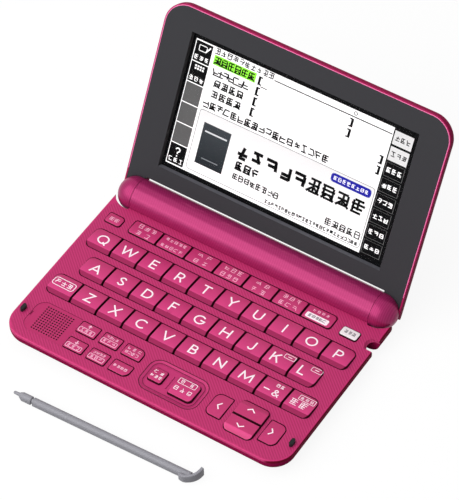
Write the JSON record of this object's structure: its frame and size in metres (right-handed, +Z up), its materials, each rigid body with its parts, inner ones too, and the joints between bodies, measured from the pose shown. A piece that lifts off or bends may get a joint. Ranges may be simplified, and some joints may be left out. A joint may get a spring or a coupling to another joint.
{
  "type": "electronic dictionary",
  "caption": "Clamshell electronic dictionary with a ball-ended battery barrel as hinge, letter and arrow keys, wide touch screen and a loose hooked stylus.",
  "frame": {"origin": "on the table, under the middle of the closed case's footprint", "axes": "+X to the right along the hinge, +Y from the front edge to the hinge, +Z up from the table"},
  "size_m": [0.148, 0.1705, 0.0945],
  "materials": {
    "case_pink": "magenta pink, fine wave pattern under a clear coat",
    "case_wine": "deeper magenta gloss",
    "key_pink": "satin pink with white legends",
    "white_key": "white satin",
    "dark_frame": "dark grey matt",
    "display": "lit display",
    "clear_panel": "clear touch panel",
    "black_rubber": "matt",
    "black_plastic": "matt",
    "grey_plastic": "grey satin",
    "cell_wrap": "plain wrap",
    "plated_steel": "plated",
    "board": "solder mask",
    "key_plate": "dark coat"
  },
  "bodies": {
    "base": {"base_top_cover": "case_pink", "base_bottom_cover": "case_wine", "barrel_housing": "case_pink", "battery_cells": "cell_wrap", "battery_contacts": "plated_steel", "main_board": "board", "key_plate": "key_plate", "speaker_grille": "case_pink", "speaker": "black_plastic", "rubber_feet": "black_rubber", "lid_bumpers": "black_rubber", "base_screws": "plated_steel", "stylus_silo": "black_plastic"},
    "lid": {"lid_back_cover": "case_wine", "lid_bezel": "dark_frame", "lcd_module": "display", "touch_panel": "clear_panel", "hinge_caps": "case_pink", "hinge_pins": "plated_steel"},
    "key_q_body": {"key_q": "key_pink"},
    "key_w_body": {"key_w": "key_pink"},
    "key_e_body": {"key_e": "key_pink"},
    "key_r_body": {"key_r": "key_pink"},
    "key_t_body": {"key_t": "key_pink"},
    "key_y_body": {"key_y": "key_pink"},
    "key_u_body": {"key_u": "key_pink"},
    "key_i_body": {"key_i": "key_pink"},
    "key_o_body": {"key_o": "key_pink"},
    "key_p_body": {"key_p": "key_pink"},
    "key_a_body": {"key_a": "key_pink"},
    "key_s_body": {"key_s": "key_pink"},
    "key_d_body": {"key_d": "key_pink"},
    "key_f_body": {"key_f": "key_pink"},
    "key_g_body": {"key_g": "key_pink"},
    "key_h_body": {"key_h": "key_pink"},
    "key_j_body": {"key_j": "key_pink"},
    "key_k_body": {"key_k": "key_pink"},
    "key_l_body": {"key_l": "key_pink"},
    "key_shift_body": {"key_shift": "key_pink"},
    "key_z_body": {"key_z": "key_pink"},
    "key_x_body": {"key_x": "key_pink"},
    "key_c_body": {"key_c": "key_pink"},
    "key_v_body": {"key_v": "key_pink"},
    "key_b_body": {"key_b": "key_pink"},
    "key_n_body": {"key_n": "key_pink"},
    "key_m_body": {"key_m": "key_pink"},
    "key_symbol_body": {"key_symbol": "key_pink"},
    "key_delete_body": {"key_delete": "key_pink"},
    "power_key_body": {"power_key": "key_pink"},
    "category_keys_body": {"category_keys": "key_pink"},
    "home_key_body": {"home_key": "white_key"},
    "small_keys_body": {"small_keys": "key_pink"},
    "return_key_body": {"return_key": "key_pink"},
    "enter_key_body": {"enter_key": "key_pink"},
    "left_key_body": {"left_key": "key_pink"},
    "right_key_body": {"right_key": "key_pink"},
    "up_key_body": {"up_key": "key_pink"},
    "down_key_body": {"down_key": "key_pink"},
    "battery_cover_body": {"battery_cover": "case_wine"},
    "stylus_body": {"stylus": "grey_plastic"}
  },
  "joints": [
    {"name": "lid_hinge", "type": "hinge", "parent": "base", "child": "lid", "pos_m": [0, 0.04425, 0.009], "axis": [1, 0, 0], "range_deg": [-32.83, 117.17]},
    {"name": "key_q_body_press", "type": "slide", "parent": "base", "child": "key_q_body", "axis": [0, 0, -1], "range_m": [0, 0.001], "stiffness_N_per_m": 300},
    {"name": "key_w_body_press", "type": "slide", "parent": "base", "child": "key_w_body", "axis": [0, 0, -1], "range_m": [0, 0.001], "stiffness_N_per_m": 300},
    {"name": "key_e_body_press", "type": "slide", "parent": "base", "child": "key_e_body", "axis": [0, 0, -1], "range_m": [0, 0.001], "stiffness_N_per_m": 300},
    {"name": "key_r_body_press", "type": "slide", "parent": "base", "child": "key_r_body", "axis": [0, 0, -1], "range_m": [0, 0.001], "stiffness_N_per_m": 300},
    {"name": "key_t_body_press", "type": "slide", "parent": "base", "child": "key_t_body", "axis": [0, 0, -1], "range_m": [0, 0.001], "stiffness_N_per_m": 300},
    {"name": "key_y_body_press", "type": "slide", "parent": "base", "child": "key_y_body", "axis": [0, 0, -1], "range_m": [0, 0.001], "stiffness_N_per_m": 300},
    {"name": "key_u_body_press", "type": "slide", "parent": "base", "child": "key_u_body", "axis": [0, 0, -1], "range_m": [0, 0.001], "stiffness_N_per_m": 300},
    {"name": "key_i_body_press", "type": "slide", "parent": "base", "child": "key_i_body", "axis": [0, 0, -1], "range_m": [0, 0.001], "stiffness_N_per_m": 300},
    {"name": "key_o_body_press", "type": "slide", "parent": "base", "child": "key_o_body", "axis": [0, 0, -1], "range_m": [0, 0.001], "stiffness_N_per_m": 300},
    {"name": "key_p_body_press", "type": "slide", "parent": "base", "child": "key_p_body", "axis": [0, 0, -1], "range_m": [0, 0.001], "stiffness_N_per_m": 300},
    {"name": "key_a_body_press", "type": "slide", "parent": "base", "child": "key_a_body", "axis": [0, 0, -1], "range_m": [0, 0.001], "stiffness_N_per_m": 300},
    {"name": "key_s_body_press", "type": "slide", "parent": "base", "child": "key_s_body", "axis": [0, 0, -1], "range_m": [0, 0.001], "stiffness_N_per_m": 300},
    {"name": "key_d_body_press", "type": "slide", "parent": "base", "child": "key_d_body", "axis": [0, 0, -1], "range_m": [0, 0.001], "stiffness_N_per_m": 300},
    {"name": "key_f_body_press", "type": "slide", "parent": "base", "child": "key_f_body", "axis": [0, 0, -1], "range_m": [0, 0.001], "stiffness_N_per_m": 300},
    {"name": "key_g_body_press", "type": "slide", "parent": "base", "child": "key_g_body", "axis": [0, 0, -1], "range_m": [0, 0.001], "stiffness_N_per_m": 300},
    {"name": "key_h_body_press", "type": "slide", "parent": "base", "child": "key_h_body", "axis": [0, 0, -1], "range_m": [0, 0.001], "stiffness_N_per_m": 300},
    {"name": "key_j_body_press", "type": "slide", "parent": "base", "child": "key_j_body", "axis": [0, 0, -1], "range_m": [0, 0.001], "stiffness_N_per_m": 300},
    {"name": "key_k_body_press", "type": "slide", "parent": "base", "child": "key_k_body", "axis": [0, 0, -1], "range_m": [0, 0.001], "stiffness_N_per_m": 300},
    {"name": "key_l_body_press", "type": "slide", "parent": "base", "child": "key_l_body", "axis": [0, 0, -1], "range_m": [0, 0.001], "stiffness_N_per_m": 300},
    {"name": "key_shift_body_press", "type": "slide", "parent": "base", "child": "key_shift_body", "axis": [0, 0, -1], "range_m": [0, 0.001], "stiffness_N_per_m": 300},
    {"name": "key_z_body_press", "type": "slide", "parent": "base", "child": "key_z_body", "axis": [0, 0, -1], "range_m": [0, 0.001], "stiffness_N_per_m": 300},
    {"name": "key_x_body_press", "type": "slide", "parent": "base", "child": "key_x_body", "axis": [0, 0, -1], "range_m": [0, 0.001], "stiffness_N_per_m": 300},
    {"name": "key_c_body_press", "type": "slide", "parent": "base", "child": "key_c_body", "axis": [0, 0, -1], "range_m": [0, 0.001], "stiffness_N_per_m": 300},
    {"name": "key_v_body_press", "type": "slide", "parent": "base", "child": "key_v_body", "axis": [0, 0, -1], "range_m": [0, 0.001], "stiffness_N_per_m": 300},
    {"name": "key_b_body_press", "type": "slide", "parent": "base", "child": "key_b_body", "axis": [0, 0, -1], "range_m": [0, 0.001], "stiffness_N_per_m": 300},
    {"name": "key_n_body_press", "type": "slide", "parent": "base", "child": "key_n_body", "axis": [0, 0, -1], "range_m": [0, 0.001], "stiffness_N_per_m": 300},
    {"name": "key_m_body_press", "type": "slide", "parent": "base", "child": "key_m_body", "axis": [0, 0, -1], "range_m": [0, 0.001], "stiffness_N_per_m": 300},
    {"name": "key_symbol_body_press", "type": "slide", "parent": "base", "child": "key_symbol_body", "axis": [0, 0, -1], "range_m": [0, 0.001], "stiffness_N_per_m": 300},
    {"name": "key_delete_body_press", "type": "slide", "parent": "base", "child": "key_delete_body", "axis": [0, 0, -1], "range_m": [0, 0.001], "stiffness_N_per_m": 300},
    {"name": "power_key_body_press", "type": "slide", "parent": "base", "child": "power_key_body", "axis": [0, 0, -1], "range_m": [0, 0.0006], "stiffness_N_per_m": 300},
    {"name": "category_keys_body_press", "type": "slide", "parent": "base", "child": "category_keys_body", "axis": [0, 0, -1], "range_m": [0, 0.0006], "stiffness_N_per_m": 300},
    {"name": "home_key_body_press", "type": "slide", "parent": "base", "child": "home_key_body", "axis": [0, 0, -1], "range_m": [0, 0.0006], "stiffness_N_per_m": 300},
    {"name": "small_keys_body_press", "type": "slide", "parent": "base", "child": "small_keys_body", "axis": [0, 0, -1], "range_m": [0, 0.0006], "stiffness_N_per_m": 300},
    {"name": "return_key_body_press", "type": "slide", "parent": "base", "child": "return_key_body", "axis": [0, 0, -1], "range_m": [0, 0.0006], "stiffness_N_per_m": 300},
    {"name": "enter_key_body_press", "type": "slide", "parent": "base", "child": "enter_key_body", "axis": [0, 0, -1], "range_m": [0, 0.0006], "stiffness_N_per_m": 300},
    {"name": "left_key_body_press", "type": "slide", "parent": "base", "child": "left_key_body", "axis": [0, 0, -1], "range_m": [0, 0.0006], "stiffness_N_per_m": 300},
    {"name": "right_key_body_press", "type": "slide", "parent": "base", "child": "right_key_body", "axis": [0, 0, -1], "range_m": [0, 0.0006], "stiffness_N_per_m": 300},
    {"name": "up_key_body_press", "type": "slide", "parent": "base", "child": "up_key_body", "axis": [0, 0, -1], "range_m": [0, 0.0006], "stiffness_N_per_m": 300},
    {"name": "down_key_body_press", "type": "slide", "parent": "base", "child": "down_key_body", "axis": [0, 0, -1], "range_m": [0, 0.0006], "stiffness_N_per_m": 300},
    {"name": "battery_cover_slide", "type": "slide", "parent": "base", "child": "battery_cover_body", "axis": [0, 1, 0], "range_m": [0, 0.014]},
    {"name": "stylus_lift", "type": "slide", "parent": "base", "child": "stylus_body", "axis": [0, 0, 1], "range_m": [0, 0.05]}
  ]
}
